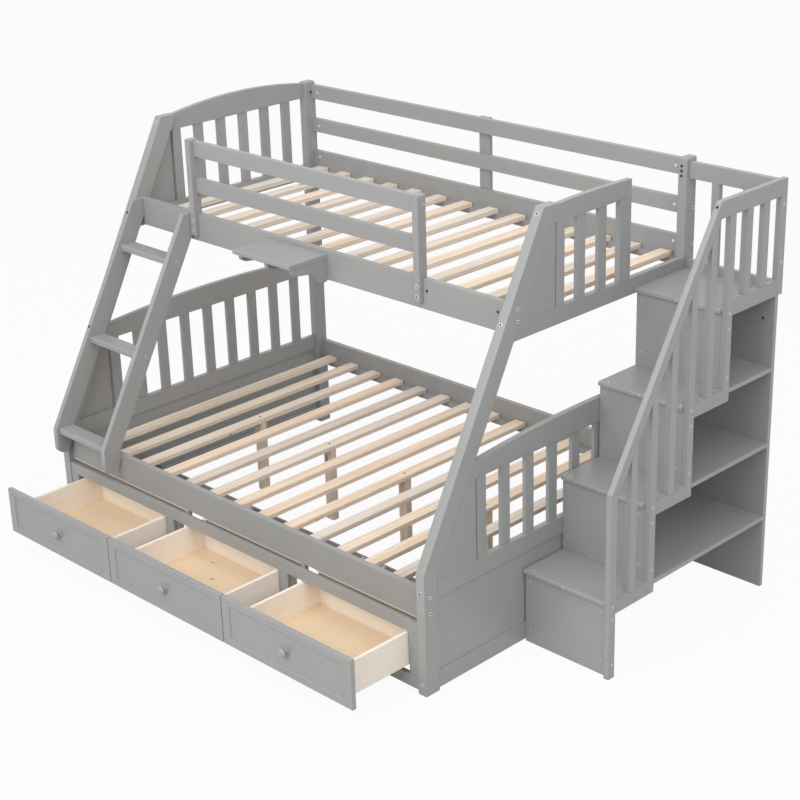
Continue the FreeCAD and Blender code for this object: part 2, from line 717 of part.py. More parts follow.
X_OUT = FreeCAD.Vector(1, 0, 0)
X_BACK = FreeCAD.Vector(-1, 0, 0)
Y_FRONT = FreeCAD.Vector(0, -1, 0)
bolts = []
for name, outer, axis in (("head", 0.0, X_BACK), ("foot", BED_L, X_OUT)):
    for dz in (SIDE_BOLT_IN, SIDE_H - SIDE_BOLT_IN):
        bolts.append(stud(outer, LOW_SIDE_Y + RAIL_T / 2, LOW_SIDE_Z + dz, axis, WOOD_BOLT_R))
        bolts.append(stud(outer, back_y + RAIL_T / 2, UP_SIDE_Z + dz, axis, WOOD_BOLT_R))
    for z in (guard_z + GUARD_H / 2, GUARD_MID + GUARD_MID_H / 2):
        bolts.append(stud(outer, back_y + RAIL_T / 2, z, axis, WOOD_BOLT_R))
    for dz in (LEG_BOLT_LOW, LEG_BOLT_HIGH):
        bolts.append(stud(outer, up_side_y + RAIL_T / 2, UP_SIDE_Z + dz, axis, WOOD_BOLT_R))
for x in GUARD_POST_X:
    for dz in (GUARD_BOLT_LOW, GUARD_BOLT_HIGH):
        bolts.append(
            stud(x + GUARD_POST_W / 2, up_side_y - GUARD_POST_PROUD, UP_SIDE_Z + dz,
                 Y_FRONT, WOOD_BOLT_R))
for z in (guard_z + GUARD_H / 2, GUARD_MID + GUARD_MID_H / 2):
    bolts.append(stud(GUARD_POST_X[1] + GUARD_POST_W, up_side_y + RAIL_T / 2, z, X_OUT, SMALL_BOLT_R))
nodes["frame_bolts"] = bolts

steps = []
for i, y in enumerate(riser_ys):
    mid_x = (x_st0 + x_rail) / 2
    top = (i + 1) * RISE
    steps.append(stud(mid_x, y - NOSE, top - TREAD_T / 2, Y_FRONT, SMALL_BOLT_R))
    for x in (x_st0 + RISER_BOLT_IN, x_rail - RISER_BOLT_IN):
        for drop in (RISER_BOLT_DROP, RISER_BOLT_LOW):
            steps.append(stud(x, y, top - TREAD_T - drop, Y_FRONT, SMALL_BOLT_R))
post_ys = [newel_y] + riser_ys[1:]
for i, y in enumerate(post_ys):
    z0 = NEWEL_BOLT_Z if i == 0 else rail_lows[i - 1] + POST_BOLT_UP
    for z in (z0, z0 + POST_BOLT_PITCH):
        steps.append(stud(x_st1, y + BALUSTER_W / 2, z, X_OUT, SMALL_BOLT_R))
for z in (deck_rail_z + CORNER_BOLT_UP, guard_z - CORNER_BOLT_DROP):
    steps.append(stud(x_st1, corner_y + CORNER_W / 2, z, X_OUT, SMALL_BOLT_R))
nodes["stair_bolts"] = steps

y_low = front_y0 + FRONT_SUNK - KNOB_OUT
origin = FreeCAD.Vector(-(BED_L + STAIR_W) / 2, -(y_low + BED_D + SPACER_T) / 2, 0.0)
for name, solids in nodes.items():
    shape = solids[0] if len(solids) == 1 else Part.makeCompound(solids)
    shape.translate(origin)
    shape.exportStep("parts/%s.step" % name)
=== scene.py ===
import json
import math
import random

import bpy
import numpy as np
from mathutils import Matrix, Vector

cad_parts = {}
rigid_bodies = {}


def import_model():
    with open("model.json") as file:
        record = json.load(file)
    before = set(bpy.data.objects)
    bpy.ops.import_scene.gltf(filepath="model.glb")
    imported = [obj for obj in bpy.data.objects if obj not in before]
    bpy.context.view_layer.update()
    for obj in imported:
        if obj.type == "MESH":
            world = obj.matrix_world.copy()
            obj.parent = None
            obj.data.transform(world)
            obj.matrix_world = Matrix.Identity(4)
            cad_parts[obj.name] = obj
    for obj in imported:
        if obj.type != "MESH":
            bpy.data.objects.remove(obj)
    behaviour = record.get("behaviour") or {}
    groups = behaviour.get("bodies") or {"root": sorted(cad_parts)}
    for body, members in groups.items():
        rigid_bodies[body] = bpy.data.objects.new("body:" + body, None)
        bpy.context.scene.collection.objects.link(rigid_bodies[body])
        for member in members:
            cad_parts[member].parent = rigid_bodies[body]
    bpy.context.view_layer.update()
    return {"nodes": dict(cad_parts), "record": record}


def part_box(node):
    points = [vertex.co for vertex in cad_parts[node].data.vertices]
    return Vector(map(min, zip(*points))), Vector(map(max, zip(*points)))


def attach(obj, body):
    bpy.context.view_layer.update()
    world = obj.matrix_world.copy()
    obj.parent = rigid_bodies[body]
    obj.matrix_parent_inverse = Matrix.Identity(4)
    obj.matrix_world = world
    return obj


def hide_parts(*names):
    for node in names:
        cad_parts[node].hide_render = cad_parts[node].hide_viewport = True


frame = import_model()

nodes = frame["nodes"]
bodyOf = {name: body for body, names in frame["record"]["behaviour"]["bodies"].items()
          for name in names}
print("frame loaded:", len(nodes), "nodes")


class Socket:
    # one output of a node, so that patterns can be written as sums
    def __init__(self, finish, out):
        self.finish = finish
        self.out = out

    def __add__(self, other):
        return self.finish.math("ADD", self, other)

    def __radd__(self, other):
        return self.finish.math("ADD", other, self)

    def __sub__(self, other):
        return self.finish.math("SUBTRACT", self, other)

    def __rsub__(self, other):
        return self.finish.math("SUBTRACT", other, self)

    def __mul__(self, other):
        return self.finish.math("MULTIPLY", self, other)

    def __rmul__(self, other):
        return self.finish.math("MULTIPLY", other, self)

    def __gt__(self, other):
        return self.finish.math("GREATER_THAN", self, other)


class Finish:
    # the nodes of a material or of the room, and the calls that make them
    def __init__(self, owner):
        owner.use_nodes = True
        self.owner = owner
        self.tree = owner.node_tree
        self.tree.nodes.clear()

    def node(self, kind, settings=None, values=None, out=0):
        made = self.tree.nodes.new(kind)
        for key, value in (settings or {}).items():
            setattr(made, key, value)
        for key, value in (values or {}).items():
            if isinstance(value, Socket):
                self.tree.links.new(value.out, made.inputs[key])
            else:
                made.inputs[key].default_value = value
        return Socket(self, made.outputs[out]) if made.outputs else None

    def math(self, operation, *values):
        return self.node("ShaderNodeMath", {"operation": operation}, dict(enumerate(values)))

    def place(self):
        return self.node("ShaderNodeTexCoord", out="Object")

    def attribute(self, name, out):
        return self.node("ShaderNodeAttribute", {"attribute_name": name}, out=out)

    def stretched(self, vector, scale):
        return self.node("ShaderNodeVectorMath", {"operation": "MULTIPLY"}, {0: vector, 1: scale})

    def noise(self, vector, pattern):
        # a pattern is its scale, one or one per axis, its detail and its roughness
        scale, detail, rough = pattern
        if isinstance(scale, tuple):
            vector, scale = self.stretched(vector, scale), 1.0
        return self.node("ShaderNodeTexNoise", values={
            "Vector": vector, "Scale": scale, "Detail": detail, "Roughness": rough})

    def cells(self, vector, scale, out):
        return self.node("ShaderNodeTexVoronoi", {"feature": "F1"}, {
            "Vector": self.stretched(vector, scale), "Scale": 1.0, "Randomness": 1.0}, out=out)

    def smooth(self, value, low, high):
        return self.node("ShaderNodeMapRange", {"interpolation_type": "SMOOTHSTEP"}, {
            "Value": value, "From Min": low, "From Max": high})

    def tint(self, factor, first, second):
        return self.node("ShaderNodeMix", {"data_type": "RGBA"},
                         {0: factor, 6: first, 7: second}, out=2)

    def shade(self, color, value):
        # a colour made lighter or darker by a plain number
        grey = self.node("ShaderNodeCombineColor", values={0: value, 1: value, 2: value})
        return self.node("ShaderNodeMix", {"data_type": "RGBA", "blend_type": "MULTIPLY"},
                         {0: 1.0, 6: color, 7: grey}, out=2)

    def bump(self, height, distance, strength, under=None):
        values = {"Height": height, "Distance": distance, "Strength": strength}
        if under is not None:
            values["Normal"] = under
        return self.node("ShaderNodeBump", values=values)

    def seen(self):
        # 1 for rays from the camera, a mirror or glass
        eye, gloss, clear = (self.node("ShaderNodeLightPath", out=ray) for ray in (
            "Is Camera Ray", "Is Glossy Ray", "Is Transmission Ray"))
        return self.math("MAXIMUM", eye, self.math("MAXIMUM", gloss, clear))

    def end(self, surface, kind="ShaderNodeOutputMaterial"):
        self.node(kind, values={"Surface": surface})
        return self.owner

    def shader(self, values):
        return self.end(self.node("ShaderNodeBsdfPrincipled", values=values))


greyPaint = {
    "color": (0.336, 0.340, 0.342, 1.0),
    "warmColor": (0.342, 0.340, 0.334, 1.0),
    "warmPattern": (1.7, 1.0, 0.5),
    "warmRange": (0.35, 0.75),
    "cloudPattern": (3.2, 3.0, 0.55),
    "cloud": 0.10,            # slow change of shade over a board
    "boardTone": 0.06,        # from board to board
    "grainPattern": ((2.2, 70.0, 70.0), 5.0, 0.62),
    "grainShow": 0.07,        # wood showing through the coat
    "fibrePattern": ((14.0, 520.0, 520.0), 3.0, 0.6),
    "fibreShow": 0.028,
    "rollerPattern": (900.0, 2.0, 0.5),
    "speckPattern": (310.0, 1.0, 0.4),
    "speckRange": (0.68, 0.80),
    "speckShow": 0.03,        # dust nibs in the coat
    "roughness": 0.40,
    "rollerRough": 0.12,
    "cloudRough": 0.10,
    "grainRough": 0.05,
    "grainDepth": 0.00035,
    "grainPress": 0.6,
    "fibreRelief": 0.5,
    "rollerDepth": 0.00010,
    "rollerPress": 0.8,
    "speckRelief": 1.5,
    "specular": 0.42,
    "coat": 0.08,
    "coatRoughness": 0.35,
}
knobPaint = dict(greyPaint, grainShow=0.03, fibreShow=0.012, roughness=0.34)


def paintedWood(name, look):
    f = Finish(bpy.data.materials.new(name))
    board = f.attribute("board", "Vector")
    tone = f.attribute("tone", "Fac")
    place = f.place()
    cloud = f.noise(place, look["cloudPattern"])
    grain = f.noise(board, look["grainPattern"])
    fibre = f.noise(board, look["fibrePattern"])
    roller = f.noise(place, look["rollerPattern"])
    speck = f.smooth(f.noise(place, look["speckPattern"]), *look["speckRange"])
    warm = f.smooth(f.noise(place, look["warmPattern"]), *look["warmRange"])
    color = f.tint(warm, look["color"], look["warmColor"])
    shade = (1.0 + look["cloud"] * (cloud - 0.5) + look["boardTone"] * (tone - 0.5)
             + look["grainShow"] * (grain - 0.5) + look["fibreShow"] * (fibre - 0.5)
             - look["speckShow"] * speck)
    rough = (look["roughness"] + look["rollerRough"] * (roller - 0.5)
             + look["cloudRough"] * (cloud - 0.5) + look["grainRough"] * (grain - 0.5))
    relief = f.bump(grain + look["fibreRelief"] * fibre, look["grainDepth"], look["grainPress"])
    relief = f.bump(roller + look["speckRelief"] * speck, look["rollerDepth"],
                    look["rollerPress"], relief)
    return f.shader({"Base Color": f.shade(color, shade), "Roughness": rough, "Normal": relief,
                     "Specular IOR Level": look["specular"], "Coat Weight": look["coat"],
                     "Coat Roughness": look["coatRoughness"]})


palePine = {
    "early": (0.885, 0.800, 0.705, 1.0),
    "warmEarly": (0.880, 0.745, 0.595, 1.0),      # the yellower boards
    "warmRange": (0.25, 0.85),
    "blush": (0.870, 0.680, 0.545, 1.0),          # the pinker ones
    "blushTurn": 7.0,         # makes a second chance per board out of its tone
    "blushRange": (0.35, 0.95),
    "blushShow": 0.55,
    "late": (0.700, 0.515, 0.375, 1.0),
    "knot": (0.300, 0.160, 0.080, 1.0),
    "boardTone": 0.22,
    "ringPitch": 0.0130,      # metres from ring to ring
    "ringRange": (0.25, 1.0),
    "ringShow": 0.46,
    "driftPattern": ((1.1, 6.0, 6.0), 2.0, 0.5),
    "driftShift": 0.022,      # metres that the rings wander
    "wobblePattern": ((5.0, 30.0, 30.0), 2.0, 0.5),
    "wobbleShift": 0.004,
    "knotCell": (5.0, 13.0, 13.0),
    "knotShare": 0.60,        # cells of the knot pattern that stay empty
    "knotRange": (0.055, 0.085),
    "knotShow": 0.85,
    "swirlRange": (0.05, 0.30),
    "swirlShift": 0.010,      # grain bends round a knot
    "fibrePattern": ((9.0, 640.0, 640.0), 4.0, 0.65),
    "fibreShow": 0.16,
    "porePattern": ((60.0, 2400.0, 2400.0), 2.0, 0.5),
    "poreShow": 0.05,
    "stainPattern": ((2.5, 9.0, 9.0), 3.0, 0.5),
    "stainShow": 0.55,
    "stainShade": 0.10,
    "roughness": 0.60,
    "fibreRough": 0.14,
    "ringSheen": 0.06,
    "knotRough": 0.10,
    "depth": 0.0004,
    "press": 0.5,
    "ringRelief": 0.35,
    "poreRelief": 0.3,
    "specular": 0.30,
}
drawerPine = dict(
    palePine, early=(0.930, 0.850, 0.760, 1.0), warmEarly=(0.920, 0.830, 0.730, 1.0),
    late=(0.860, 0.740, 0.610, 1.0), blushShow=0.10, boardTone=0.05,
    ringPitch=0.0105, ringShow=0.22, knotShare=0.90)
drawerFloor = dict(
    palePine, early=(0.860, 0.680, 0.480, 1.0), warmEarly=(0.850, 0.660, 0.450, 1.0),
    late=(0.750, 0.540, 0.350, 1.0), knot=(0.520, 0.270, 0.110, 1.0), blushShow=0.0,
    boardTone=0.05, ringPitch=0.016, ringShow=0.26, knotShare=0.45)
rawEdge = dict(
    palePine, early=(0.400, 0.270, 0.180, 1.0), warmEarly=(0.380, 0.250, 0.160, 1.0),
    late=(0.300, 0.190, 0.120, 1.0), blushShow=0.0, knotShare=2.0)      # no knots


def barePine(name, look):
    f = Finish(bpy.data.materials.new(name))
    board = f.attribute("board", "Vector")
    tone = f.attribute("tone", "Fac")
    drift = f.noise(board, look["driftPattern"])
    wobble = f.noise(board, look["wobblePattern"])
    fibre = f.noise(board, look["fibrePattern"])
    pore = f.noise(board, look["porePattern"])
    stain = f.noise(board, look["stainPattern"])
    heart = f.node("ShaderNodeVectorMath", {"operation": "LENGTH"}, {
        0: f.stretched(board, (0.0, 1.0, 1.0))}, out="Value")           # distance from the pith
    knots = f.cells(board, look["knotCell"], "Distance")
    cell = f.cells(board, look["knotCell"], "Color")
    kept = f.node("ShaderNodeSeparateColor", values={"Color": cell}) > look["knotShare"]
    knot = (1.0 - f.smooth(knots, *look["knotRange"])) * kept
    swirl = (1.0 - f.smooth(knots, *look["swirlRange"])) * kept
    ringPlace = (heart + look["driftShift"] * (drift - 0.5) + look["wobbleShift"] * (wobble - 0.5)
                 + look["swirlShift"] * swirl)
    ring = f.math("SINE", ringPlace * (2 * math.pi / look["ringPitch"]))
    ring = f.smooth(0.5 + 0.5 * ring, *look["ringRange"])
    early = f.tint(f.smooth(tone, *look["warmRange"]), look["early"], look["warmEarly"])
    second = f.math("FRACT", tone * look["blushTurn"])
    early = f.tint(f.smooth(second, *look["blushRange"]) * look["blushShow"], early, look["blush"])
    color = f.tint(ring * look["ringShow"] + look["stainShow"] * (stain - 0.5), early, look["late"])
    color = f.tint(knot * look["knotShow"], color, look["knot"])
    shade = (1.0 + look["boardTone"] * (tone - 0.5) + look["fibreShow"] * (fibre - 0.5)
             + look["poreShow"] * (pore - 0.5) + look["stainShade"] * (stain - 0.5))
    rough = (look["roughness"] + look["fibreRough"] * (fibre - 0.5) - look["ringSheen"] * ring
             + look["knotRough"] * knot)
    relief = f.bump(fibre + look["ringRelief"] * ring + look["poreRelief"] * pore,
                    look["depth"], look["press"])
    return f.shader({"Base Color": f.shade(color, shade), "Roughness": rough, "Normal": relief,
                     "Specular IOR Level": look["specular"]})


zincSteel = {
    "bright": (0.90, 0.90, 0.88, 1.0),
    "dull": (0.76, 0.76, 0.74, 1.0),
    "metal": 0.45,
    "roughness": 0.30,
    "patchPattern": (420.0, 3.0, 0.6),
    "patchRough": 0.22,
    "scratchPattern": ((300.0, 4200.0, 900.0), 2.0, 0.5),
    "scratchRough": 0.10,
    "depth": 0.00004,
    "press": 0.6,
}
# near-black steel: painted shade in the bolt sockets and open holes, and the colour of the slat
# screws
darkSteelAndShade = dict(zincSteel, bright=(0.060, 0.058, 0.055, 1.0), dull=(0.020, 0.020, 0.020, 1.0),
                 metal=0.9, roughness=0.45)


def platedSteel(name, look):
    f = Finish(bpy.data.materials.new(name))
    place = f.place()
    patch = f.noise(place, look["patchPattern"])
    scratch = f.noise(place, look["scratchPattern"])
    rough = (look["roughness"] + look["patchRough"] * (patch - 0.5)
             + look["scratchRough"] * (scratch - 0.5))
    return f.shader({"Base Color": f.tint(patch, look["bright"], look["dull"]),
                     "Roughness": rough, "Metallic": look["metal"],
                     "Normal": f.bump(scratch + patch, look["depth"], look["press"])})


finishes = {
    "grey_paint": paintedWood("satinGreyPaint", greyPaint),
    "knob_paint": paintedWood("knobGreyPaint", knobPaint),
    "pine": barePine("slatPine", palePine),
    "drawer_pine": barePine("drawerPine", drawerPine),
    "drawer_floor": barePine("drawerFloorPine", drawerFloor),
    "raw_edge": barePine("rawBoardEdge", rawEdge),
    "bolt_steel": platedSteel("zincPlatedSteel", zincSteel),
    # near-black finish: painted shade where it lines bolt sockets and holes, and the slat screws'
    # colour
    "hole": platedSteel("openBoltHole", darkSteelAndShade),
}
print("finishes made:", len(finishes))


edgeWork = {
    "flatStep": 0.6,          # degrees up to which neighbouring triangles become one face
    "bevelAngle": 32,         # degrees past which an edge is rounded
    "segments": 2,
    "board": 34,              # degrees up to which faces shade as one: boards,
    "fitting": 30,            # bolts, nuts and holes,
    "turned": 50,             # and knobs
    "flatWeight": 50,         # how strongly a large face keeps its own light
    "facesUp": 0.99,          # share of a normal that points up on a top face
}


def clearSelection():
    if bpy.context.mode != "OBJECT":
        bpy.ops.object.mode_set(mode="OBJECT")
    for thing in bpy.context.scene.objects:
        thing.select_set(False)


def takeUp(thing):
    # only this object selected and active
    clearSelection()
    thing.select_set(True)
    bpy.context.view_layer.objects.active = thing


def fixPlace():
    # the active object's place and size go into its mesh
    bpy.ops.object.transform_apply(location=True, rotation=True, scale=True)
    return bpy.context.object


def pickTop(thing):
    # selects the faces that point straight up, ready for edit mode
    mesh = thing.data
    for part in (mesh.vertices, mesh.edges):
        part.foreach_set("select", np.zeros(len(part), bool))
    for face in mesh.polygons:
        face.select = face.normal.z > edgeWork["facesUp"]


def edit(thing, steps):
    takeUp(thing)
    bpy.ops.object.mode_set(mode="EDIT")
    bpy.ops.mesh.select_mode(type="FACE")
    for call, values in steps:
        call(**values)
    bpy.ops.object.mode_set(mode="OBJECT")


def smoothEdges(thing, degrees):
    # only the rounded edges turn the light; large faces stay flat
    takeUp(thing)
    bpy.ops.object.shade_smooth_by_angle(angle=math.radians(degrees))
    flatten = thing.modifiers.new("flatFaces", "WEIGHTED_NORMAL")
    flatten.mode = "FACE_AREA"
    flatten.weight = edgeWork["flatWeight"]
    flatten.keep_sharp = True
    bpy.ops.object.modifier_apply(modifier=flatten.name)


def addBevel(thing, width):
    takeUp(thing)
    soften = thing.modifiers.new("softEdges", "BEVEL")
    soften.width = width
    soften.segments = edgeWork["segments"]
    soften.limit_method = "ANGLE"
    soften.angle_limit = math.radians(edgeWork["bevelAngle"])
    soften.use_clamp_overlap = False
    soften.miter_outer = "MITER_SHARP"
    soften.harden_normals = False
    bpy.ops.object.modifier_apply(modifier=soften.name)


def cutOut(thing, key):
    # takes the key's shape out of the thing, and removes the key
    takeUp(thing)
    cut = thing.modifiers.new("recess", "BOOLEAN")
    cut.operation = "DIFFERENCE"
    cut.object = key
    bpy.ops.object.modifier_apply(modifier=cut.name)
    bpy.data.objects.remove(key)


def joinAll(things, name):
    clearSelection()
    for thing in things:
        thing.select_set(True)
    bpy.context.view_layer.objects.active = things[0]
    if len(things) > 1:
        bpy.ops.object.join()
    made = bpy.context.view_layer.objects.active
    made.name = made.data.name = name
    return made


def setInPlace(model, spot, axis, scale=1.0):
    # a copy of the model with its own mesh, turned so that it stands on a face along axis
    made = model.copy()
    made.data = model.data.copy()
    bpy.context.scene.collection.objects.link(made)
    turn = Vector((0, 0, 1)).rotation_difference(Vector(axis)).to_matrix().to_4x4()
    size = Matrix.Diagonal((scale, scale, 1.0, 1.0))
    made.data.transform(Matrix.Translation(spot) @ turn @ size)
    return made


def solidsOf(node):
    # the node's triangles, one list of points and faces per closed solid
    mesh = node.data
    corner = [tuple(round(c, 6) for c in v.co) for v in mesh.vertices]
    solids, faces, points, index, openEdges = [], [], [], {}, set()
    for triangle in mesh.polygons:
        face = []
        for v in triangle.vertices:
            key = corner[v]
            if key not in index:
                index[key] = len(points)
                points.append(key)
            face.append(index[key])
        if len(set(face)) < 3:
            continue
        faces.append(face)
        for a, b in zip(face, face[1:] + face[:1]):
            openEdges ^= {(min(a, b), max(a, b))}
        if not openEdges:
            solids.append((points, faces))
            faces, points, index = [], [], {}
    if faces:
        solids.append((points, faces))
    return solids


grainLuck = {
    "along": (0, 40),                 # metres that a board's pattern is moved along it,
    "across": (-0.035, 0.035),        # across it,
    "through": (0.03, 0.08),          # and away from the pith
}


def markBoards(thing, seed):
    # each board gets its own place and tone, so that grain runs along it and differs from the next
    mesh = thing.data
    co = np.zeros(len(mesh.vertices) * 3)
    mesh.vertices.foreach_get("co", co)
    co = co.reshape(-1, 3)
    ends = np.zeros(len(mesh.edges) * 2, int)
    mesh.edges.foreach_get("vertices", ends)
    ends = ends.reshape(-1, 2)
    group = np.arange(len(co))
    while True:
        # the lowest number spreads along the edges until each board has one of its own
        low = np.minimum(group[ends[:, 0]], group[ends[:, 1]])
        new = group.copy()
        np.minimum.at(new, ends[:, 0], low)
        np.minimum.at(new, ends[:, 1], low)
        new = new[new]
        if (new == group).all():
            break
        group = new
    place = np.zeros_like(co)
    tone = np.zeros(len(co))
    luck = random.Random(seed)
    for number in np.unique(group):
        mine = group == number
        own = mine[ends[:, 0]]
        run = co[ends[own, 1]] - co[ends[own, 0]]
        size = np.linalg.norm(run, axis=1)
        spread = (run * size[:, None]).T @ run
        axes = np.linalg.eigh(spread)[1][:, ::-1]         # the longest direction comes first
        local = (co[mine] - co[mine].mean(0)) @ axes
        shift = [luck.uniform(*grainLuck[way]) for way in ("along", "across", "through")]
        place[mine] = local + shift
        tone[mine] = luck.random()
    mesh.attributes.new("board", "FLOAT_VECTOR", "POINT").data.foreach_set("vector", place.ravel())
    mesh.attributes.new("tone", "FLOAT", "POINT").data.foreach_set("value", tone)


def camel(name):
    first, *rest = name.split("_")
    return first + "".join(word.capitalize() for word in rest)


boards = {
    "edge": 0.0016,           # rounding of a board's edges
    "fineEdge": 0.0010,
    "legEdge": 0.0022,
    "fine": ("head_low_panel", "foot_low_panel", "low_cleats", "high_cleats", "case_runners",
             "back_spacer", "drawer1_box", "drawer2_box", "drawer3_box", "bedside_shelf"),
    "legs": ("head_front_leg", "foot_front_leg", "head_back_post", "foot_back_post", "handrail",
             "front_guard_posts", "ladder_stiles", "drawer1_front", "drawer2_front",
             "drawer3_front"),
    "floor": (0.0995, 0.1065),            # heights between which a drawer's bottom board lies
    "painted": ("low_cleats", "high_cleats"),     # ledges painted with the rails they are on
    "rawEnds": ("stair_risers",),                 # left ends show the board's own brown
    "endNormal": -0.3,                            # x of the normal on such an end, at most
    "squared": {"foot_high_rails": 0.030},        # far top end made square, and its radius
    "squareReach": 0.98,      # share of the radius from which a point goes to the corner
    "squareSlack": 0.002,
    "merge": 0.00001,         # metres within which points at a squared corner become one
    "remade": ("frame_bolts", "stair_bolts", "drawer1_knob", "drawer2_knob", "drawer3_knob",
               "shelf_brackets"),
}


def squareEnd(mesh, radius):
    # the points round the far top end all go to its corner, where they are merged
    crown = max(v.co.z for v in mesh.vertices)
    upper = [v for v in mesh.vertices if v.co.z > crown - 2 * radius]
    farY = max(v.co.y for v in upper)
    topZ = max(v.co.z for v in upper if v.co.y > farY - radius - boards["squareSlack"])
    for v in upper:
        if min(v.co.y - farY, v.co.z - topZ) > -boards["squareReach"] * radius:
            v.co.y, v.co.z = farY, topZ


def dressBoards(name):
    # the node's own solids, with rounded edges and a grain of their own
    node = nodes[name]
    mesh = bpy.data.meshes.new(camel(name))
    points, faces = [], []
    for own, triangles in solidsOf(node):
        faces += [[v + len(points) for v in triangle] for triangle in triangles]
        points += own
    mesh.from_pydata(points, [], faces)
    piece = bpy.data.objects.new(camel(name), mesh)
    bpy.context.scene.collection.objects.link(piece)
    steps = [(bpy.ops.mesh.select_all, {"action": "SELECT"})]
    if name in boards["squared"]:
        squareEnd(mesh, boards["squared"][name])
        steps.append((bpy.ops.mesh.remove_doubles, {"threshold": boards["merge"]}))
    flat = math.radians(edgeWork["flatStep"])
    edit(piece, steps + [(bpy.ops.mesh.dissolve_limited, {"angle_limit": flat})])
    width = boards["edge"]
    if name in boards["fine"]:
        width = boards["fineEdge"]
    if name in boards["legs"]:
        width = boards["legEdge"]
    addBevel(piece, width)
    smoothEdges(piece, edgeWork["board"])
    markBoards(piece, name)
    finish = node.data.materials[0].name.split(".")[0]
    if name in boards["painted"]:
        finish = "grey_paint"
    isBox = name.endswith("_box")
    piece.data.materials.append(finishes["drawer_pine" if isBox else finish])
    if isBox:
        low, high = boards["floor"]
        piece.data.materials.append(finishes["drawer_floor"])
        for face in piece.data.polygons:
            face.material_index = int(low < face.center.z < high)
    if name in boards["rawEnds"]:
        piece.data.materials.append(finishes["raw_edge"])
        for face in piece.data.polygons:
            face.material_index = int(face.normal.x < boards["endNormal"])
    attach(piece, bodyOf[name])
    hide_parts(name)


for name in sorted(nodes):
    if name not in boards["remade"]:
        dressBoards(name)
print("boards dressed")


bolt = {
    "radius": 0.0065, "height": 0.0020, "sides": 24,
    "rim": 0.0006,            # rounding of the head's outer edge
    "rimSegments": 3,
    "ring": 0.0014,           # flat ring inside the rim
    "dish": 0.0004,           # width and depth of the step inside the ring
    "socket": 0.0025,         # radius of the hexagon key's recess, corner to centre
    "socketDepth": 0.0014,
    "underside": 0.0002,      # faces of the recess lie above this
    "headEnd": -1.0,          # bolts beyond this x face the head end's outside
}


def addDisc(sides, radius, height):
    # a disc that stands on the origin
    clearSelection()
    bpy.ops.mesh.primitive_cylinder_add(vertices=sides, radius=radius, depth=height,
                                        location=(0, 0, height / 2))
    return fixPlace()


def makeBoltHead():
    # modelled once, pointing up, with its foot at the origin
    head = addDisc(bolt["sides"], bolt["radius"], bolt["height"])
    pickTop(head)
    edit(head, [(bpy.ops.mesh.bevel, {
        "offset": bolt["rim"], "segments": bolt["rimSegments"], "affect": "EDGES"})])
    pickTop(head)
    edit(head, [
        (bpy.ops.mesh.inset, {"thickness": bolt["ring"], "depth": 0.0}),
        (bpy.ops.mesh.inset, {"thickness": bolt["dish"], "depth": -bolt["dish"]}),
    ])
    clearSelection()
    bpy.ops.mesh.primitive_cylinder_add(vertices=6, radius=bolt["socket"],
                                        depth=bolt["socketDepth"] * 2,
                                        location=(0, 0, bolt["height"]))
    cutOut(head, bpy.context.object)
    head.data.materials.clear()
    head.data.materials.append(finishes["bolt_steel"])
    head.data.materials.append(finishes["hole"])
    # faces inside the hexagon recess take the near-black finish: painted shade in the socket
    for face in head.data.polygons:
        inside = math.hypot(face.center.x, face.center.y) < bolt["socket"]
        face.material_index = int(inside and face.center.z > bolt["underside"])
    smoothEdges(head, edgeWork["fitting"])
    return head


boltHead = makeBoltHead()
for name in ("frame_bolts", "stair_bolts"):
    heads = []
    for points, triangles in solidsOf(nodes[name]):
        lo, hi = Vector(np.min(points, 0)), Vector(np.max(points, 0))
        size, middle = hi - lo, (lo + hi) / 2
        if size.x > size.y:
            spot, axis = (middle.x, hi.y, middle.z), (0, -1, 0)
        elif middle.x < bolt["headEnd"]:
            spot, axis = (hi.x, middle.y, middle.z), (-1, 0, 0)
        else:
            spot, axis = (lo.x, middle.y, middle.z), (1, 0, 0)
        heads.append(setInPlace(boltHead, Vector(spot), axis, max(size) / 2 / bolt["radius"]))
    piece = joinAll(heads, camel(name))
    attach(piece, bodyOf[name])
    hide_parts(name)

# bolts and screws beside the CAD ones: place, way they face and share of the full size
extraBolts = {
    "legs": [((x, y, z), axis, 1.0) for x in (0.8045, -1.1825) for y, z, axis in (
        (0.0225, 1.538, (0, -0.882, 0.472)), (-0.1554, 1.2055, (0, -0.882, 0.472)),
        (-0.558, 0.388, (0, -1, 0)), (-0.558, 0.041, (0, -1, 0)))],
    "treads": [((x, y, z), (0, 0, 1), 0.62) for x in (0.856, 1.166) for y, z in (
        (-0.052, 0.290), (0.145, 0.580), (0.342, 0.870))],
    "posts": [((1.2015, y, z), (1, 0, 0), 0.62) for y, z in (
        (-0.052, 0.273), (0.155, 0.563), (0.352, 0.853), (0.549, 1.143))],
    "ladder": [((-0.8275, y, z), (1, 0, 0), 0.75) for y, z in (
        (-0.1995, 1.088), (-0.3828, 0.7535), (-0.5718, 0.4177))],
    "handrail": [((1.1915, 0.4725, 1.5425), (0, -0.846, 0.534), 0.7)],
}
coverBolts = joinAll([setInPlace(boltHead, Vector(spot), axis, share)
                      for group in extraBolts.values() for spot, axis, share in group],
                     "coverBolts")
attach(coverBolts, "bed")

# nuts and screws that show on the inner faces and on the slats
nuts = {
    "radius": 0.0058, "height": 0.0008, "sides": 20,
    "rim": 0.0003, "rimSegments": 2,
    "slot": (0.0085, 0.0014, 0.0009),             # length, width and height of the cut
    "back": [(x, z) for x in (-1.1265, 0.7485) for z in (1.519, 1.376, 1.240, 1.180)],
    "backFace": 0.838,
    "slatScrews": [(-0.819, 0.160), (-0.399, 0.160), (0.021, 0.160), (0.441, 0.160)],
    "slatTop": 0.329,
    "screwShare": 0.75,       # of a nut's size
}


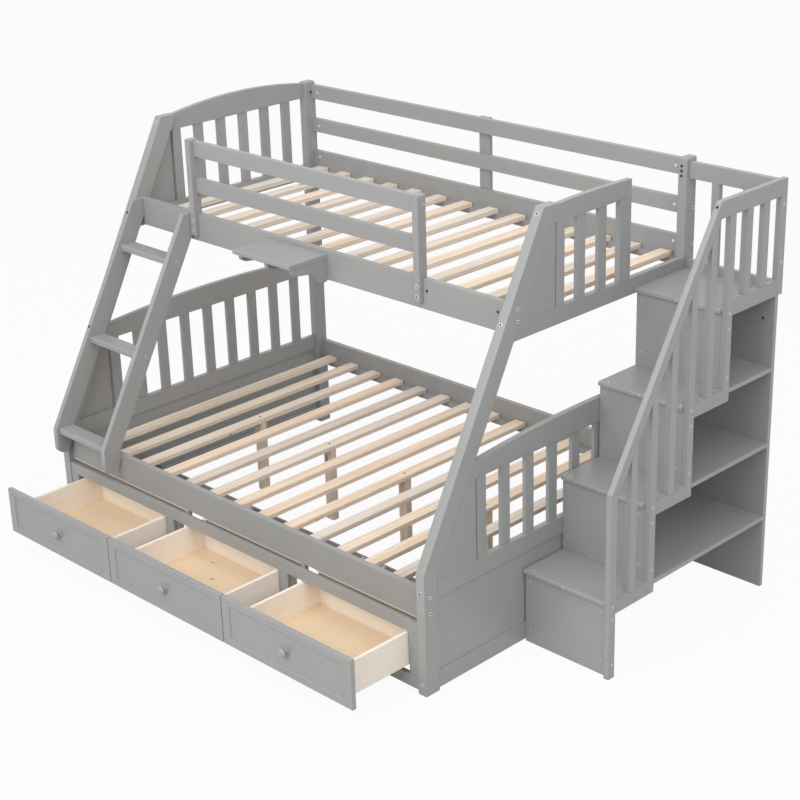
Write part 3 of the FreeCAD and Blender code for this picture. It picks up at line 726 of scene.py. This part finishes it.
def makeNut():
    # flat end of a barrel nut with its screwdriver slot
    nut = addDisc(nuts["sides"], nuts["radius"], nuts["height"])
    pickTop(nut)
    edit(nut, [(bpy.ops.mesh.bevel, {
        "offset": nuts["rim"], "segments": nuts["rimSegments"], "affect": "EDGES"})])
    clearSelection()
    bpy.ops.mesh.primitive_cube_add(size=1, location=(0, 0, nuts["height"]), scale=nuts["slot"])
    cutOut(nut, bpy.context.object)
    smoothEdges(nut, edgeWork["fitting"])
    return nut


nutModel = makeNut()
barrelNuts = joinAll([setInPlace(nutModel, Vector((x, nuts["backFace"], z)), (0, -1, 0))
                      for x, z in nuts["back"]], "barrelNuts")
barrelNuts.data.materials.append(finishes["bolt_steel"])
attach(barrelNuts, "bed")
slatScrews = joinAll([setInPlace(nutModel, Vector((x, y, nuts["slatTop"])), (0, 0, 1),
                                 nuts["screwShare"])
                      for x, y in nuts["slatScrews"]], "slatScrews")
slatScrews.data.materials.append(finishes["hole"])
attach(slatScrews, "bed")

holes = {
    "radius": 0.0052, "height": 0.0006, "sides": 20,
    "lip": 0.0007,            # width of the raised ring round the hole
    "wall": 0.0003,
    "depth": 0.0004,
    "spots": [((0.8000, 0.803, 1.532), (0, -1, 0)), ((0.8000, 0.803, 1.514), (0, -1, 0)),
              ((0.8000, 0.803, 1.496), (0, -1, 0)), ((-1.1635, 0.833, 1.517), (1, 0, 0)),
              ((-1.1525, -0.1762, 1.2194), (0, -0.873, 0.489)),
              ((-1.1525, -0.4080, 0.8052), (0, -0.873, 0.489)),
              ((1.1557, 0.820, 1.044), (0, -1, 0)), ((1.1418, 0.820, 0.835), (0, -1, 0)),
              ((0.4223, -0.1026, 1.2232), (0, -1, 0)), ((0.7450, -0.1026, 1.2232), (0, -1, 0)),
              ((1.1915, 0.4655, 1.5310), (0, -0.846, 0.534))],
}


def makeHole():
    # lip and bottom of an open hole for a bolt, a shallow disc; the near-black finish it gets below
    # is painted shade, not depth
    lip = addDisc(holes["sides"], holes["radius"], holes["height"])
    pickTop(lip)
    edit(lip, [
        (bpy.ops.mesh.inset, {"thickness": holes["lip"], "depth": 0.0}),
        (bpy.ops.mesh.inset, {"thickness": holes["wall"], "depth": -holes["depth"]}),
    ])
    smoothEdges(lip, edgeWork["fitting"])
    return lip


holeModel = makeHole()
boltHoles = joinAll([setInPlace(holeModel, Vector(spot), axis) for spot, axis in holes["spots"]],
                    "boltHoles")
# near-black over the whole disc: painted shade for the open holes
boltHoles.data.materials.append(finishes["hole"])
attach(boltHoles, "bed")
for model in (boltHead, nutModel, holeModel):
    bpy.data.objects.remove(model)
print("bolts, nuts and holes set")


knob = {
    "sides": 48,
    "foot": 0.0146,
    # distance out from the drawer front and radius, from the foot to the crown
    "turning": [(0.0012, 0.0148), (0.0026, 0.0150), (0.0038, 0.0142), (0.0048, 0.0118),
                (0.0058, 0.0090), (0.0075, 0.0074), (0.0100, 0.0070), (0.0122, 0.0078),
                (0.0134, 0.0104), (0.0144, 0.0140), (0.0158, 0.0163), (0.0176, 0.0170),
                (0.0196, 0.0168), (0.0216, 0.0156), (0.0236, 0.0134), (0.0252, 0.0102),
                (0.0264, 0.0062), (0.0270, 0.0024)],
}


def turnKnob(name):
    lo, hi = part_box(name)
    middle = (lo + hi) / 2
    centre = (middle.x, hi.y, middle.z)
    clearSelection()
    bpy.ops.mesh.primitive_circle_add(vertices=knob["sides"], radius=knob["foot"],
                                      fill_type="NGON", location=centre,
                                      rotation=(math.pi / 2, 0, 0))
    made = fixPlace()
    takeUp(made)
    bpy.ops.object.mode_set(mode="EDIT")
    bpy.ops.mesh.select_mode(type="FACE")
    bpy.ops.mesh.select_all(action="SELECT")
    out, radius = 0.0, knob["foot"]
    for nextOut, nextRadius in knob["turning"]:
        grow = nextRadius / radius
        bpy.ops.mesh.extrude_region_move(TRANSFORM_OT_translate={"value": (0, out - nextOut, 0)})
        bpy.ops.transform.resize(value=(grow, 1, grow), center_override=centre)
        out, radius = nextOut, nextRadius
    bpy.ops.mesh.select_all(action="SELECT")
    bpy.ops.mesh.normals_make_consistent(inside=False)
    bpy.ops.object.mode_set(mode="OBJECT")
    made.name = made.data.name = camel(name)
    smoothEdges(made, edgeWork["turned"])
    markBoards(made, name)
    made.data.materials.append(finishes["knob_paint"])
    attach(made, bodyOf[name])
    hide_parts(name)


for name in ("drawer1_knob", "drawer2_knob", "drawer3_knob"):
    turnKnob(name)
print("knobs turned")


bracket = {
    "left": (-0.3655, -0.2245, -0.0925),          # left faces, in x
    "thick": 0.018,
    "edge": 0.0012,
    # outline in y and z, from the rail's face round the lobe, the hollow and the nose
    "outline": [(-0.1026, 1.1560), (-0.1060, 1.1515), (-0.1140, 1.1490), (-0.1250, 1.1490),
                (-0.1350, 1.1515), (-0.1430, 1.1570), (-0.1490, 1.1655), (-0.1540, 1.1755),
                (-0.1600, 1.1850), (-0.1690, 1.1915), (-0.1810, 1.1950), (-0.1950, 1.1972),
                (-0.2100, 1.1992), (-0.2250, 1.2010), (-0.2400, 1.2030), (-0.2540, 1.2060),
                (-0.2640, 1.2110), (-0.2690, 1.2180), (-0.2700, 1.2338), (-0.1026, 1.2338)],
}


def cutBracket():
    # one point drawn out along the outline, filled and thickened
    clearSelection()
    y, z = bracket["outline"][0]
    bpy.ops.mesh.primitive_plane_add(size=0.01, location=(bracket["left"][0], y, z))
    plate = fixPlace()
    takeUp(plate)
    bpy.ops.object.mode_set(mode="EDIT")
    bpy.ops.mesh.select_mode(type="VERT")
    bpy.ops.mesh.select_all(action="SELECT")
    bpy.ops.mesh.merge(type="CENTER")
    for nextY, nextZ in bracket["outline"][1:]:
        bpy.ops.mesh.extrude_region_move(
            TRANSFORM_OT_translate={"value": (0, nextY - y, nextZ - z)})
        y, z = nextY, nextZ
    bpy.ops.mesh.select_all(action="SELECT")
    bpy.ops.mesh.edge_face_add()
    bpy.ops.mesh.extrude_region_move(TRANSFORM_OT_translate={"value": (bracket["thick"], 0, 0)})
    bpy.ops.mesh.select_all(action="SELECT")
    bpy.ops.mesh.normals_make_consistent(inside=False)
    bpy.ops.object.mode_set(mode="OBJECT")
    addBevel(plate, bracket["edge"])
    smoothEdges(plate, edgeWork["board"])
    return plate


plate = cutBracket()
shelfBrackets = joinAll([plate] + [
    setInPlace(plate, Vector((x - bracket["left"][0], 0, 0)), (0, 0, 1))
    for x in bracket["left"][1:]], "shelfBrackets")
markBoards(shelfBrackets, "shelfBrackets")
shelfBrackets.data.materials.append(finishes["grey_paint"])
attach(shelfBrackets, "bed")
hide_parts("shelf_brackets")

# battens that close most of the slit between the lower front rail and the drawer case
batten = {
    "runs": [(-1.1635, -0.4330), (-0.3425, 0.1985), (0.2755, 0.7855)],      # from and to, in x
    "raw": (-0.5370, -0.5270, 0.2745, 0.2810),    # front, back, foot and top of the raw strip
    "painted": (-0.5270, -0.5180, 0.2560, 0.2810),
    "edge": 0.0006,
}


def layBattens(name, section, finish):
    front, back, foot, top = section
    made = []
    for start, stop in batten["runs"]:
        clearSelection()
        bpy.ops.mesh.primitive_cube_add(
            size=1, location=((start + stop) / 2, (front + back) / 2, (foot + top) / 2),
            scale=(stop - start, back - front, top - foot))
        strip = fixPlace()
        addBevel(strip, batten["edge"])
        smoothEdges(strip, edgeWork["board"])
        made.append(strip)
    piece = joinAll(made, name)
    markBoards(piece, name)
    piece.data.materials.append(finishes[finish])
    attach(piece, "bed")


layBattens("rawBattens", batten["raw"], "drawer_floor")
layBattens("paintedBattens", batten["painted"], "grey_paint")
print("brackets and battens made")


studio = {
    "floorColor": (0.50, 0.50, 0.50, 1.0),
    "floorWhite": 0.95,       # share of the floor that shows plain white to the camera
    "floorRadius": 30,
    "floorDrop": -0.001,
    "white": (1, 1, 1, 1),
    "skyLight": 0.56,         # strength of the room's light on the object
    "keyPower": 218.0,
    "keySpot": (0.2, -5.4, 4.3),
    "keySize": 5.0,
    "topPower": 45.0,
    "topSpot": (0.5, 0.5, 5.5),
    "topSize": 4.0,
    "sidePower": 130.0,
    "sideSpot": (4.6, -1.8, 4.6),
    "sideSize": 4.5,
    "aim": (0, 0, 0.7),       # what the lamps point at
}

clearSelection()
bpy.ops.mesh.primitive_circle_add(vertices=64, radius=studio["floorRadius"], fill_type="NGON",
                                  location=(0, 0, studio["floorDrop"]))
floor = bpy.context.object
floor.name = "floor"
f = Finish(bpy.data.materials.new("studioFloor"))
matt = f.node("ShaderNodeBsdfDiffuse", values={"Color": studio["floorColor"]})
glow = f.node("ShaderNodeEmission", values={"Color": studio["white"], "Strength": 1.0})
share = f.seen() * studio["floorWhite"]
floor.data.materials.append(f.end(f.node("ShaderNodeMixShader", values={
    0: share, 1: matt, 2: glow})))

room = Finish(bpy.data.worlds.new("studio"))
seen = room.seen()
bpy.context.scene.world = room.end(room.node("ShaderNodeBackground", values={
    "Color": studio["white"], "Strength": seen + (1.0 - seen) * studio["skyLight"]}),
    "ShaderNodeOutputWorld")


def addLamp(name, spot, power, size):
    lamp = bpy.data.lights.new(name, "AREA")
    lamp.energy = power
    lamp.shape = "SQUARE"
    lamp.size = size
    made = bpy.data.objects.new(name, lamp)
    made.location = spot
    made.rotation_mode = "QUATERNION"
    made.rotation_quaternion = (Vector(studio["aim"]) - Vector(spot)).to_track_quat("-Z", "Y")
    bpy.context.scene.collection.objects.link(made)


for lamp in ("key", "top", "side"):
    addLamp(lamp + "Lamp", studio[lamp + "Spot"], studio[lamp + "Power"], studio[lamp + "Size"])

view = {
    "spot": (4.4017, -4.1536, 3.1785),
    "turn": 45.524, "down": 22.496, "roll": -1.746,       # degrees
    "lens": 79.65, "sensor": 36.0,                        # millimetres
    "far": 200,
}
lensData = bpy.data.cameras.new("camera")
lensData.lens = view["lens"]
lensData.sensor_width = view["sensor"]
lensData.clip_end = view["far"]
camera = bpy.data.objects.new("camera", lensData)
bpy.context.scene.collection.objects.link(camera)
camera.matrix_world = (Matrix.Translation(view["spot"])
                       @ Matrix.Rotation(math.radians(view["turn"]), 4, "Z")
                       @ Matrix.Rotation(math.radians(90 - view["down"]), 4, "X")
                       @ Matrix.Rotation(math.radians(view["roll"]), 4, "Z"))
bpy.context.scene.camera = camera
bpy.context.scene.view_settings.view_transform = "Standard"

bpy.context.view_layer.update()
print("camera and light set")
